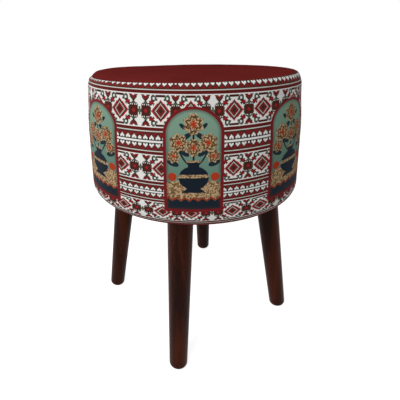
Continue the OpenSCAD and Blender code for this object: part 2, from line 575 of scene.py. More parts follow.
def print_group() -> bpy.types.NodeTree:
    """Draws the whole repeat of the band print.

    Returns:
        The group: stitch and row counts in, ink number out.
    """
    zigzag = painter("motif_zigzag", draw_zigzag)
    diamond = painter("motif_diamond", draw_diamond)
    rosette = painter("motif_rosette", draw_rosette)
    sprigs = painter("motif_sprigs", draw_sprigs)
    group = Group("band_print", {"Stitch": "f", "Row": "f"}, {"Ink": "f"})
    tree = group.tree
    stitch = group.number("Stitch").op("FLOOR") + 0.5
    row = group.number("Row").op("FLOOR") + 0.5
    fold = stitch.fold(REPEAT_HALF)
    band = (row - BAND_ROW).fold(BAND_HALF)
    ink = Num(tree, call(tree, zigzag, Across=fold, Down=band, Ink=Ink.WHITE.number)["Ink"])
    side = abs(fold - DIAMOND_AT)
    height = BAND_HALF - band
    field = Num(tree, call(tree, sprigs, Across=side, Down=height, Ink=Ink.WHITE.number)["Ink"])
    field = Num(tree, call(tree, diamond, Across=side, Down=height, Ink=field)["Ink"])
    far = abs(side - ROSETTE_OFF)
    field = Num(tree, call(tree, rosette, Across=far, Down=height, Ink=field)["Ink"])
    group.give("Ink", ink.paint(height < FIELD_HALF, field))
    return tree


def arch_group() -> bpy.types.NodeTree:
    """Draws the arched frames round the drum.

    Returns:
        The group: angle and height in, edge distance and place in the panel out.
    """
    group = Group("arch_frame", {"Angle": "f", "Height": "f"}, {"Edge": "f", "Side": "f", "Up": "f"})
    angle, height = group.number("Angle"), group.number("Height")
    side = (angle - ARCH_DEG).fold(ARCH_PITCH / 2) * math.radians(DRUM_R)
    rise = (height - ARCH_SPRING).op("MAXIMUM", 0.0) * (ARCH_HALF / ARCH_RISE)
    edge = side.hypot(rise) - ARCH_HALF
    group.give("Edge", edge.op("MAXIMUM", ARCH_FOOT - height))
    group.give("Side", side)
    group.give("Up", height - ARCH_FOOT)
    return group.tree


def blossom_group() -> bpy.types.NodeTree:
    """Draws a round blossom with seven scallops.

    Returns:
        The group: place about its middle and radius in, body, ring and heart masks out.
    """
    group = Group("blossom", {"X": "f", "Y": "f", "Radius": "f"}, {"Body": "f", "Petal": "f", "Heart": "f"})
    x, y, radius = (group.number(n) for n in ("X", "Y", "Radius"))
    petals = (y.op("ARCTAN2", x) * 7.0).op("COSINE") * 0.13
    reach = x.hypot(y) / radius + petals
    group.give("Body", 1.0 - reach.ease(0.92, 1.0))
    group.give("Petal", reach.near(0.62, 0.09))
    group.give("Heart", reach < 0.30)
    return group.tree


@dataclass(frozen=True)
class VasePanel:
    """A vase of blossoms for the arched panels, drawn mirrored about the middle.

    Its numbers are millimetres: to the side of the panel's middle, and up from its foot.
    """

    sky: Tuple[str, str] = ("#5c7d70", "#7a9885")
    gilt: Tuple[str, str] = ("#6b4f33", "#bfa27b")
    plinth: str = "#16222c"
    trim: str = "#8e3a22"
    stem: str = "#1c2b31"
    leaf: str = "#1a2a33"
    petal: str = "#4f3a27"
    heart: str = "#a8361d"
    vase: str = "#131d28"
    berry: str = "#ad381d"
    # Side, height, half length, half width and lean of each leaf
    leaves: Tuple[Tuple[float, ...], ...] = (
        (12.0, 76.0, 10.0, 4.4, 0.7),
        (9.0, 96.0, 9.5, 3.8, -0.6),
        (26.0, 62.0, 9.0, 4.2, 0.4),
        (13.0, 108.0, 8.0, 3.4, 0.9),
    )
    # Side, height and radius of each blossom
    blossoms: Tuple[Triple, ...] = (
        (0.0, 111.0, 12.5),
        (18.5, 88.0, 11.5),
        (0.0, 82.0, 10.5),
        (25.0, 71.0, 8.5),
    )

    def build(self) -> bpy.types.NodeTree:
        """Draws the panel from back to front.

        Returns:
            The group: place in the panel and speckle in, colour out.
        """
        group = Group("vase_panel", {"Side": "f", "Up": "f", "Speck": "f"}, {"Color": "c"})
        tree = group.tree
        side, up, speck = (group.number(n) for n in ("Side", "Up", "Speck"))
        sky = blend(tree, up.ease(20.0, 120.0), rgb(self.sky[0]), rgb(self.sky[1]))
        gilt = blend(tree, speck.ease(0.44, 0.54), rgb(self.gilt[0]), rgb(self.gilt[1]))
        colour = self._table(tree, side, up, sky, gilt)
        colour = self._sprays(tree, side, up, colour)
        colour = self._flowers(tree, side, up, colour, gilt)
        group.give("Color", self._vessel(tree, side, up, colour, gilt))
        return tree

    def _table(
        self, tree: bpy.types.NodeTree, side: Num, up: Num, colour: Value, gilt: Value
    ) -> bpy.types.NodeSocket:
        """Draws a table cloth with a scalloped fringe over a dark plinth.

        Args:
            tree: the group's tree.
            side: distance from the middle.
            up: height above the foot.
            colour: the colour so far.
            gilt: the speckled pale colour.

        Returns:
            The new colour.
        """
        fringe = side.fold(5.5) * 0.7
        colour = blend(tree, 1.0 - (up + side * side * 0.004).ease(40.0, 41.5), colour, gilt)
        colour = blend(tree, (up + fringe) < 14.5, colour, rgb(self.plinth))
        return blend(tree, (up + fringe).near(16.0, 1.4), colour, rgb(self.trim))

    def _sprays(
        self, tree: bpy.types.NodeTree, side: Num, up: Num, colour: Value
    ) -> bpy.types.NodeSocket:
        """Draws the stems and their leaves.

        Args:
            tree: the group's tree.
            side: distance from the middle.
            up: height above the foot.
            colour: the colour so far.

        Returns:
            The new colour.
        """
        upright = (side < 1.3) & up.near(84.0, 22.0)
        curve = abs(side - (up - 58.0).op("MAXIMUM", 0.0).op("SQRT") * 4.0) < 1.3
        colour = blend(tree, upright | (curve & up.near(72.0, 14.0)), colour, rgb(self.stem))
        for x, y, length, width, lean in self.leaves:
            dx, dy = side - x, up - y
            leaf = ((dx + dy * lean) / length).hypot((dy - dx * lean) / width)
            colour = blend(tree, 1.0 - leaf.ease(0.9, 1.0), colour, rgb(self.leaf))
        return colour

    def _flowers(
        self, tree: bpy.types.NodeTree, side: Num, up: Num, colour: Value, gilt: Value
    ) -> bpy.types.NodeSocket:
        """Draws the blossoms.

        Args:
            tree: the group's tree.
            side: distance from the middle.
            up: height above the foot.
            colour: the colour so far.
            gilt: the speckled pale colour.

        Returns:
            The new colour.
        """
        blossom = blossom_group()
        for x, y, radius in self.blossoms:
            parts = call(tree, blossom, X=side - x, Y=up - y, Radius=radius)
            colour = blend(tree, parts["Body"], colour, gilt)
            colour = blend(tree, parts["Petal"], colour, rgb(self.petal))
            colour = blend(tree, parts["Heart"], colour, rgb(self.heart))
        return colour

    def _vessel(
        self, tree: bpy.types.NodeTree, side: Num, up: Num, colour: Value, gilt: Value
    ) -> bpy.types.NodeSocket:
        """Draws the vase: foot, belly and neck, with a gilt band, and a berry beside it.

        Args:
            tree: the group's tree.
            side: distance from the middle.
            up: height above the foot.
            colour: the colour so far.
            gilt: the speckled pale colour.

        Returns:
            The new colour.
        """
        belly = ((side / 19.0).hypot((up - 43.0) / 15.5)) < 1.0
        neck = (side < 7.0) & up.near(60.0, 5.0)
        foot = ((side + (up - 25.0) * 1.3) < 13.0) & up.near(26.5, 3.5)
        colour = blend(tree, belly | neck | foot, colour, rgb(self.vase))
        band = (belly & up.near(45.0, 2.2)) | (up.near(64.5, 1.3) & (side < 9.0))
        colour = blend(tree, band, colour, gilt)
        berry = (side - 27.0).hypot(up - 44.0)
        return blend(tree, berry < 5.5, colour, rgb(self.berry))


# Finishes. Noise scales are per metre, and a bump is its depth in metres and its strength


class Surface:
    """A material with one Principled shader, while it is being built."""

    def __init__(self, name: str, **constants: float) -> None:
        """Makes the material and sets the numbers that are the same all over it.

        Args:
            name: the material's name.
            constants: shader inputs by name, with _ for a space.
        """
        self.material = bpy.data.materials.new(name)
        self.material.use_nodes = True
        self.tree = self.material.node_tree
        self.shader = self.tree.nodes["Principled BSDF"]
        for label, value in constants.items():
            self.shader.inputs[label.replace("_", " ")].default_value = value

    def place(self) -> bpy.types.NodeSocket:
        """Object coordinates, in metres."""
        return self.tree.nodes.new("ShaderNodeTexCoord").outputs["Object"]

    def map(self, name: str) -> bpy.types.NodeSocket:
        """Reads a UV map.

        Args:
            name: the map's name.

        Returns:
            Its coordinates.
        """
        node = self.tree.nodes.new("ShaderNodeUVMap")
        node.uv_map = name
        return node.outputs[0]

    def colour(self, value: Value) -> None:
        """Sets the base colour."""
        join(self.tree, value, self.shader.inputs["Base Color"])

    def rough(self, value: Num) -> None:
        """Sets the roughness from a changing number."""
        join(self.tree, value, self.shader.inputs["Roughness"])

    def bump(self, height: Num, depth: float, strength: float) -> None:
        """Sets the normal from a height.

        Args:
            height: the height, about 0 to 1.
            depth: its size in metres.
            strength: how much of it shows.
        """
        node = self.tree.nodes.new("ShaderNodeBump")
        node.inputs["Strength"].default_value = strength
        node.inputs["Distance"].default_value = depth
        join(self.tree, height, node.inputs["Height"])
        self.tree.links.new(node.outputs[0], self.shader.inputs["Normal"])


@dataclass(frozen=True)
class PrintedFabric:
    """Printed weave of the side cover."""

    name: str = "printed_fabric"
    border: str = "#741b20"
    # Colour of the painted shadow along the inner edge of the arched frames
    shade: str = "#3d2b28"
    # Where the arched frames' border fades out, in millimetres, and how strongly the painted shadow darkens
    # the panels' rims inside the frames
    border_ends: Point = (3.6, 4.5)
    rim_shadow_share: float = 0.55
    speck: float = 420.0
    cloud: float = 18.0
    fibre: float = 900.0
    # How much painted shade darkens the cloth in the groove of the sleeve's own seam, and how deep that
    # groove lies
    seam_shade: float = 0.6
    seam_depth: float = 4.0
    bump: Point = (0.00018, 0.55)

    def build(self) -> bpy.types.Material:
        """Makes the material.

        Returns:
            The material.
        """
        s = Surface(self.name, Roughness=0.88, Specular_IOR_Level=0.10)
        tree = s.tree
        stitch, row, _ = split(tree, s.map("Stitches"))
        ink = call(tree, print_group(), Stitch=stitch, Row=row)["Ink"]
        colour = self._inks(tree, ink)
        angle, height, _ = split(tree, s.map("Place"))
        arch = call(tree, arch_group(), Angle=angle, Height=height)
        speck = noise(tree, s.place(), self.speck, 2.0, 0.6)
        panel = call(tree, VasePanel().build(), Side=arch["Side"], Up=arch["Up"], Speck=speck)["Color"]
        edge = Num(tree, arch["Edge"])
        # Painted shadow: the panel darkens towards the frame, as if the frame cast shade inside it
        panel = blend(tree, edge.ease(-5.0, 0.5) * self.rim_shadow_share, panel, rgb(self.shade))
        colour = blend(tree, 1.0 - edge.ease(*self.border_ends), colour, rgb(self.border))
        colour = blend(tree, 1.0 - edge.ease(-0.5, 0.5), colour, panel)
        # The sleeve's own seam: a groove in the relief below, and painted shade that darkens the cloth
        # along it
        seam = (angle - SEAM_DEG).fold(180.0) * math.radians(DRUM_R)
        seam = 1.0 - seam.ease(0.35, 1.3)
        # Random cloudy tone of the cloth, times the painted shade along the seam
        shade = (noise(tree, s.place(), self.cloud, 3.0) * 0.16 + 0.90) * (1.0 - seam * self.seam_shade)
        s.colour(blend(tree, 1.0, colour, self._grey(tree, shade), "MULTIPLY"))
        thread = (stitch * math.pi).op("SINE") * (row * math.pi).op("SINE")
        relief = abs(thread) + noise(tree, s.place(), self.fibre) * 0.6 - seam * self.seam_depth
        s.bump(relief, *self.bump)
        return s.material

    @staticmethod
    def _inks(tree: bpy.types.NodeTree, ink: bpy.types.NodeSocket) -> bpy.types.NodeSocket:
        """Turns ink numbers into colours.

        Args:
            tree: the material's tree.
            ink: the ink number.

        Returns:
            The ink's colour.
        """
        table = tree.nodes.new("ShaderNodeValToRGB")
        table.color_ramp.interpolation = "CONSTANT"
        stops = table.color_ramp.elements
        for index, tone in enumerate(Ink):
            stop = stops[index] if index < 2 else stops.new(index / len(Ink))
            stop.position, stop.color = index / len(Ink), rgb(tone.value)
        tree.links.new(ink, table.inputs[0])
        return table.outputs[0]

    @staticmethod
    def _grey(tree: bpy.types.NodeTree, value: Num) -> bpy.types.NodeSocket:
        """Makes a grey of a number.

        Args:
            tree: the material's tree.
            value: its brightness.

        Returns:
            The grey.
        """
        node = tree.nodes.new("ShaderNodeCombineColor")
        for socket in node.inputs:
            join(tree, value, socket)
        return node.outputs[0]


@dataclass(frozen=True)
class RedFabric:
    """Plain deep-red weave of the top. Its pitch is in metres."""

    name: str = "red_fabric"
    tone: str = "#5e1f1d"
    light: str = "#6d2523"
    pitch: float = 0.0011
    cloud: float = 14.0
    fibre: float = 1500.0
    bump: Point = (0.00022, 0.5)

    def build(self) -> bpy.types.Material:
        """Makes the material.

        Returns:
            The material.
        """
        s = Surface(self.name, Roughness=0.92, Specular_IOR_Level=0.0)
        place = s.place()
        x, y, _ = split(s.tree, place)
        pitch = math.pi / self.pitch
        weave = (x * pitch).op("SINE") * (y * pitch).op("SINE")
        cloud = noise(s.tree, place, self.cloud, 4.0)
        fibre = noise(s.tree, scaled(s.tree, place, (1.0, 0.25, 1.0)), self.fibre, 2.0)
        tint = (cloud * 0.5 + fibre * 0.5).ease(0.30, 0.72)
        s.colour(blend(s.tree, tint, rgb(self.tone), rgb(self.light)))
        s.bump(weave * 0.6 + fibre, *self.bump)
        return s.material


@dataclass(frozen=True)
class Wood:
    """Straight-grained wood, stained or raw."""

    name: str
    dark: str
    light: str
    rough: float
    gloss: float = 0.2
    grain: float = 90.0
    turn: Triple = (0.0, 0.0, 0.0)
    # How far the grain is drawn out, and how much finer the pores are
    along: float = 0.045
    pores: float = 9.0
    bump: Point = (0.00012, 0.35)

    def build(self) -> bpy.types.Material:
        """Makes the material, its grain running along the turned Z axis.

        Returns:
            The material.
        """
        s = Surface(self.name, Roughness=self.rough, Specular_IOR_Level=self.gloss)
        along = scaled(s.tree, s.place(), (1.0, 1.0, self.along), self.turn)
        rings = noise(s.tree, along, self.grain, 5.0, 0.6)
        pores = noise(s.tree, along, self.grain * self.pores, 2.0, 0.7)
        tint = (rings * 0.75 + pores * 0.25).ease(0.34, 0.66)
        s.colour(blend(s.tree, tint, rgb(self.dark), rgb(self.light)))
        s.rough(pores * 0.12 + (self.rough - 0.06))
        s.bump(pores + rings * 0.4, *self.bump)
        return s.material


@dataclass(frozen=True)
class Board:
    """Sheet board: plywood with its plies on the edge, or fibreboard. A ply is in metres."""

    name: str
    dark: str
    light: str
    ply: float
    grain: float = 160.0
    bump: Point = (0.0002, 0.4)

    def build(self) -> bpy.types.Material:
        """Makes the material.

        Returns:
            The material.
        """
        s = Surface(self.name, Roughness=0.72)
        place = s.place()
        _, _, z = split(s.tree, place)
        face = noise(s.tree, scaled(s.tree, place, (0.12, 1.0, 1.0)), self.grain, 4.0)
        plies = (z * (math.pi / self.ply)).op("SINE").ease(-0.3, 0.3)
        tint = face.ease(0.3, 0.7) * 0.7 + plies * 0.3
        s.colour(blend(s.tree, tint, rgb(self.dark), rgb(self.light)))
        s.bump(face, *self.bump)
        return s.material


@dataclass(frozen=True)
class Foam:
    """Open-cell foam."""

    name: str = "foam"
    dark: str = "#d6c89c"
    light: str = "#efe6c6"
    cells: float = 700.0
    cloud: float = 20.0
    bump: Point = (0.0006, 0.7)

    def build(self) -> bpy.types.Material:
        """Makes the material.

        Returns:
            The material.
        """
        s = Surface(self.name, Roughness=0.95, Specular_IOR_Level=0.15)
        cells = noise(s.tree, s.place(), self.cells, 3.0, 0.7)
        cloud = noise(s.tree, s.place(), self.cloud)
        tint = (cells * 0.7 + cloud * 0.3).ease(0.3, 0.7)
        s.colour(blend(s.tree, tint, rgb(self.dark), rgb(self.light)))
        s.bump(cells, *self.bump)
        return s.material


@dataclass(frozen=True)
class Metal:
    """Plated steel, with faint brushing and spots."""

    name: str
    tone: str
    worn: str
    rough: float = 0.34
    spots: float = 260.0
    brushing: float = 1800.0
    bump: Point = (0.00005, 0.4)

    def build(self) -> bpy.types.Material:
        """Makes the material.

        Returns:
            The material.
        """
        s = Surface(self.name, Metallic=1.0, Roughness=self.rough)
        spots = noise(s.tree, s.place(), self.spots, 4.0)
        s.colour(blend(s.tree, spots.ease(0.35, 0.7), rgb(self.tone), rgb(self.worn)))
        s.rough(spots * 0.2 + (self.rough - 0.1))
        s.bump(noise(s.tree, s.place(), self.brushing), *self.bump)
        return s.material


@dataclass(frozen=True)
class DustCloth:
    """Black non-woven sheet with bonded dimples. Their pitch is in metres."""

    name: str = "dust_cloth"
    dark: str = "#141416"
    light: str = "#2a2a2d"
    pitch: float = 0.0016
    fibre: float = 800.0
    bump: Point = (0.0002, 0.6)

    def build(self) -> bpy.types.Material:
        """Makes the material.

        Returns:
            The material.
        """
        s = Surface(self.name, Roughness=0.9, Specular_IOR_Level=0.2)
        x, y, _ = split(s.tree, s.place())
        pitch = math.pi / self.pitch
        dimple = ((x + y) * pitch).op("SINE") * ((x - y) * pitch).op("SINE")
        fibre = noise(s.tree, s.place(), self.fibre, 3.0)
        s.colour(blend(s.tree, fibre.ease(0.35, 0.7), rgb(self.dark), rgb(self.light)))
        s.bump(dimple.ease(0.2, 0.8) + fibre * 0.5, *self.bump)
        return s.material


@dataclass(frozen=True)
class Thread:
    """Twisted polyester thread. Its twist is in metres."""

    name: str = "seam_thread"
    dark: str = "#4b1416"
    light: str = "#6b2022"
    twist: float = 0.0004
    bump: Point = (0.0001, 0.5)

    def build(self) -> bpy.types.Material:
        """Makes the material.

        Returns:
            The material.
        """
        s = Surface(self.name, Roughness=0.6, Sheen_Weight=0.2)
        x, y, z = split(s.tree, s.place())
        twist = ((x + y + z) * (math.pi / self.twist)).op("SINE")
        s.colour(blend(s.tree, twist.ease(-1.0, 1.0), rgb(self.dark), rgb(self.light)))
        s.bump(twist, *self.bump)
        return s.material


# Outlines and the shape of stretched cloth


def ramp(value: np.ndarray, start: float, width: float) -> np.ndarray:
    """Goes evenly from 0 at start to 1 at start + width, which may lie below it."""
    return np.clip((value - start) / width, 0, 1)


def crown_z(radius: float, inset: float = 0.0) -> float:
    """Height of the crowned top at a radius, in millimetres."""
    return SEAM_Z - inset + CROWN_H * (1 - (radius / SEAM_R) ** CROWN_POWER)


def side_outline(inset: float, steps: int = 24) -> List[Point]:
    """The drum's side from the seam down to the flat underside.

    Args:
        inset: how far it is moved in, in millimetres.
        steps: points on each rounding.

    Returns:
        Points of radius and height, in millimetres.
    """
    points = []
    for i in range(steps + 1):
        a = math.radians(90 - 90 * i / steps)
        out, rise = (SHOULDER_W - inset) * math.cos(a), (SHOULDER_H - inset) * math.sin(a)
        points.append((SEAM_R + out, SHOULDER_Z + rise))
    for i in range(1, 2 * steps + 1):
        t = 1 - i / (2 * steps)
        points.append((DRUM_R - inset - SHOULDER_IN * t * t, EDGE_Z + (SHOULDER_Z - EDGE_Z) * t))
    for i in range(1, steps + 1):
        a = math.radians(90 - 90 * i / steps)
        out, drop = (EDGE_W - inset) * math.sin(a), (EDGE_H - inset) * math.cos(a)
        points.append((BOARD_R + out, EDGE_Z - drop))
    return points


def spread(points: Sequence[Point], count: int) -> Tuple[np.ndarray, np.ndarray]:
    """Spaces points evenly along an outline.

    Args:
        points: the outline.
        count: how many points to make.

    Returns:
        The new points, and the arc length at each.
    """
    table = np.array(points)
    arcs = np.concatenate([[0.0], np.cumsum(np.hypot(*np.diff(table, axis=0).T))])
    even = np.linspace(0, arcs[-1], count)
    return np.stack([np.interp(even, arcs, table[:, 0]), np.interp(even, arcs, table[:, 1])], 1), even


def wobble(angle: np.ndarray, height: np.ndarray) -> np.ndarray:
    """Smooth unevenness of stretched cloth, about -1 to 1."""
    return sum(size * np.sin(turns * angle + rise * height + start) for turns, rise, start, size in WAVES)


@dataclass(frozen=True)
class Drape:
    """How the covers depart from an even round drum. Lengths in millimetres.

    The methods that take points move them and give them back.
    """

    # The sewn seam is tipped: its direction, how far, and where that starts and how it grows
    tip_deg: float = 11.8
    tip: float = 1.8
    tip_from_r: float = 138.0
    tip_over_r: float = 24.0
    tip_over_z: float = 38.0
    # The cushion swells over the seam where the seam is low
    swell_deg: float = -75.0
    swell: float = 5.6
    swell_from_r: float = 40.0
    swell_over_r: float = 105.0
    swell_edge: float = 8.0
    swell_power: float = 1.5
    # The cover is drawn in a little below the seam
    pull: float = 2.0
    pull_from_z: float = 365.0
    pull_over_z: float = 40.0
    pull_top: float = 8.0
    pull_over_r: float = 4.0
    # The sewn seam is drawn in on both flanks, by this share and a lean to the right
    flank: float = 4.0
    flank_share: float = 0.75
    flank_lean: float = 0.25
    flank_over_z: float = 12.0
    flank_from_r: float = 100.0
    flank_over_r: float = 60.0
    # The print is pulled wider towards the flanks: angles from the front and on the print
    front_deg: float = 9.8
    stretch: Tuple[Tuple[float, ...], ...] = (
        (0, 15, 25.9, 38.2, 51.2, 63.2, 74, 89, 180),
        (0, 15, 25, 35, 45, 55, 65, 80, 180),
    )
    # It sinks towards one flank near the seam and rises there lower down, by arc length
    sink: float = 0.95
    sink_change: float = 2.5
    sink_from: float = 20.0
    sink_over: float = 25.0
    tip_to: float = 45.0
    tip_fade: float = 38.0

    def angle(self, place: np.ndarray) -> np.ndarray:
        """Angle of points from the tipped side's middle, in radians."""
        return np.arctan2(place[:, 1], place[:, 0]) + math.pi / 2 - math.radians(self.tip_deg)

    def tip_seam(self, place: np.ndarray) -> np.ndarray:
        """Tips the sewn seam: down on one flank and up on the other.

        Args:
            place: points in metres.

        Returns:
            The moved points.
        """
        radius = np.hypot(place[:, 0], place[:, 1]) / MM
        near = ramp(radius, self.tip_from_r, self.tip_over_r)
        near = near * ramp(place[:, 2] / MM, SEAM_Z - self.tip_over_z, self.tip_over_z)
        place[:, 2] += self.tip * MM * near * np.sin(self.angle(place))
        return place

    def pull_in(self, place: np.ndarray) -> np.ndarray:
        """Draws the cover and its padding in below the seam.

        Args:
            place: points in metres.

        Returns:
            The moved points.
        """
        radius = np.hypot(place[:, 0], place[:, 1])
        height = place[:, 2] / MM
        near = ramp(height, self.pull_from_z, self.pull_over_z) * ramp(height, SEAM_Z, -self.pull_top)
        near *= ramp(radius / MM, SEAM_R - 1, self.pull_over_r)
        place[:, :2] *= (1 - self.pull * MM * near / np.maximum(radius, MM))[:, None]
        return place

    def narrow_flanks(self, place: np.ndarray) -> np.ndarray:
        """Draws the sewn seam in on the two flanks, most on the right.

        Args:
            place: points in metres.

        Returns:
            The moved points.
        """
        side = np.sin(self.angle(place))
        radius = np.hypot(place[:, 0], place[:, 1])
        near = ramp(place[:, 2] / MM, FLANK_Z, self.flank_over_z)
        near = near * ramp(radius / MM, self.flank_from_r, self.flank_over_r)
        pull = self.flank * MM * near * side**2 * (self.flank_share + self.flank_lean * side)
        place[:, :2] *= (1 - pull / np.maximum(radius, MM))[:, None]
        return place

    def swell_rim(self, place: np.ndarray) -> np.ndarray:
        """Swells the cushion over the seam where the seam sits low.

        Args:
            place: points in metres.

        Returns:
            The moved points.
        """
        radius = np.hypot(place[:, 0], place[:, 1]) / MM
        ring = ramp(radius, self.swell_from_r, self.swell_over_r) ** self.swell_power
        ring = ring * np.sqrt(ramp(radius, SEAM_R, -self.swell_edge))
        turn = np.maximum(0, np.cos(self.angle(place) - math.radians(self.swell_deg)))
        place[:, 2] += self.swell * MM * ring * turn**self.swell_power
        return place

    def printed_angle(self, degrees: np.ndarray) -> np.ndarray:
        """Finds where on the print an angle round the drum lies.

        Args:
            degrees: angles round the drum.

        Returns:
            Angles on the print, in degrees.
        """
        away = (degrees - self.front_deg + 180) % 360 - 180
        return degrees + np.sign(away) * (np.interp(abs(away), *self.stretch) - abs(away))

    def drawn_down(self, degrees: np.ndarray, arcs: np.ndarray) -> np.ndarray:
        """Finds how far the print lies below its even place.

        Args:
            degrees: angles round the drum.
            arcs: arc lengths below the seam.

        Returns:
            Millimetres by arc length and angle.
        """
        share = self.sink - self.sink_change * ramp(arcs, self.sink_from, self.sink_over)
        lift = self.tip * ramp(arcs, self.tip_to, -self.tip_fade)
        return (share + lift)[:, None] * np.sin(np.radians(degrees - self.tip_deg))[None, :]


# Meshes


def mesh_object(
    name: str, verts: Sequence[Triple], faces: Sequence[Sequence[int]], smooth: bool = True
) -> bpy.types.Object:
    """Makes a mesh object and links it.

    Args:
        name: object name.
        verts: points in millimetres.
        faces: point numbers of each face.
        smooth: whether the faces are shaded smooth.

    Returns:
        The object.
    """
    mesh = bpy.data.meshes.new(name)
    mesh.from_pydata([tuple(c * MM for c in v) for v in verts], [], faces)
    mesh.polygons.foreach_set("use_smooth", [smooth] * len(mesh.polygons))
    mesh.update()
    obj = bpy.data.objects.new(name, mesh)
    bpy.context.scene.collection.objects.link(obj)
    return obj


def lathe(name: str, outline: Sequence[Point], columns: int, closed: bool) -> bpy.types.Object:
    """Turns an outline of (radius, height) round Z.

    The outside is on the outline's left: it runs from the top outwards, down and back in.

    Args:
        name: object name.
        outline: points in millimetres, from first to last.
        columns: faces round.
        closed: whether the last point joins the first.

    Returns:
        The mesh object.
    """
    verts, rows = [], []
    for radius, height in outline:
        if radius < AXIS_R:
            rows.append([len(verts)] * columns)
            verts.append((0.0, 0.0, height))
            continue
        rows.append(list(range(len(verts), len(verts) + columns)))
        for j in range(columns):
            a = 2 * math.pi * j / columns
            verts.append((radius * math.cos(a), radius * math.sin(a), height))
    faces = []
    for i in range(len(rows) - (0 if closed else 1)):
        low, high = rows[i], rows[(i + 1) % len(rows)]
        for j in range(columns):
            k = (j + 1) % columns
            ring = list(dict.fromkeys([low[j], high[j], high[k], low[k]]))
            if len(ring) > 2:
                faces.append(ring)
    return mesh_object(name, verts, faces)


def coordinates(obj: bpy.types.Object) -> np.ndarray:
    """Reads a mesh's points.

    Args:
        obj: the object.

    Returns:
        The points, one row each.
    """
    flat = np.zeros(len(obj.data.vertices) * 3)
    obj.data.vertices.foreach_get("co", flat)
    return flat.reshape(-1, 3)


def set_coordinates(obj: bpy.types.Object, points: np.ndarray) -> None:
    """Writes a mesh's points back."""
    obj.data.vertices.foreach_set("co", points.ravel())
    obj.data.update()


def polar(place: np.ndarray) -> Tuple[np.ndarray, np.ndarray]:
    """Radius and angle of points round Z, in the points' unit and radians."""
    return np.hypot(place[:, 0], place[:, 1]), np.arctan2(place[:, 1], place[:, 0])


@dataclass(frozen=True)
class ClothRun:
    """A short cloth run that swells a cover, its held points fixed.

    It has a cap on how far a point may move, in metres, and the stuffing's outward push.
    """

    cap: float
    pressure: float = 4.0
    frames: int = 20
    stiffness: float = 25.0
    bending: float = 2.0
    least: float = 1e-9

    def swell(self, obj: bpy.types.Object, held: np.ndarray) -> None:
        """Args:
            obj: the cover.
            held: weight of each point, 1 where it is sewn or stapled.
        """
        start = coordinates(obj)
        group = obj.vertex_groups.new(name="held")
        for index in np.nonzero(held > 0)[0]:
            group.add([int(index)], float(held[index]), "REPLACE")
        cloth = obj.modifiers.new("cloth", "CLOTH")
        settings = cloth.settings
        settings.vertex_group_mass = "held"
        settings.use_pressure = True
        settings.uniform_pressure_force = self.pressure
        settings.tension_stiffness = settings.compression_stiffness = self.stiffness
        settings.bending_stiffness = self.bending
        settings.effector_weights.gravity = 0.0
        cloth.point_cache.frame_start, cloth.point_cache.frame_end = 1, self.frames
        for frame in range(1, self.frames + 1):
            bpy.context.scene.frame_set(frame)
        posed = obj.evaluated_get(bpy.context.evaluated_depsgraph_get())
        moved = coordinates(posed) - start
        obj.modifiers.remove(cloth)
        obj.vertex_groups.remove(group)
        bpy.context.scene.frame_set(1)
        length = np.maximum(np.linalg.norm(moved, axis=1, keepdims=True), self.least)
        set_coordinates(obj, start + moved * np.minimum(1.0, self.cap / length))
        most = float(np.minimum(length, self.cap).max()) / MM
        LOG.info("%s swelled by up to %.2f mm", obj.name, most)


def apply_modifiers(obj: bpy.types.Object) -> None:
    """Puts a piece's modified mesh in place of its mesh.

    Args:
        obj: the piece.
    """
    posed = obj.evaluated_get(bpy.context.evaluated_depsgraph_get())
    made = bpy.data.meshes.new_from_object(posed)
    obj.modifiers.clear()
    old, obj.data = obj.data, made
    bpy.data.meshes.remove(old)


def refine(obj: bpy.types.Object) -> None:
    """Applies one level of subdivision.

    Args:
        obj: the piece.
    """
    smooth = obj.modifiers.new("smooth", "SUBSURF")
    smooth.levels = smooth.render_levels = 1
    apply_modifiers(obj)


def cut_bolts(obj: bpy.types.Object) -> None:
    """Opens a flat cover where the four bolts go through.

    Args:
        obj: the cover.
    """
    cut = bmesh.new()
    cut.from_mesh(obj.data)
    spots = [Vector((LEG_R * MM * x, LEG_R * MM * y)) for x, y in LEG_SIDES.values()]
    low = [
        f for f in cut.faces
        if f.calc_center_median().z < (UNDER_Z + CUT_RISE) * MM
        and any((f.calc_center_median().xy - s).length < PIERCE_R * MM for s in spots)
    ]
    bmesh.ops.delete(cut, geom=low, context="FACES")
    cut.to_mesh(obj.data)
    cut.free()


# Pieces


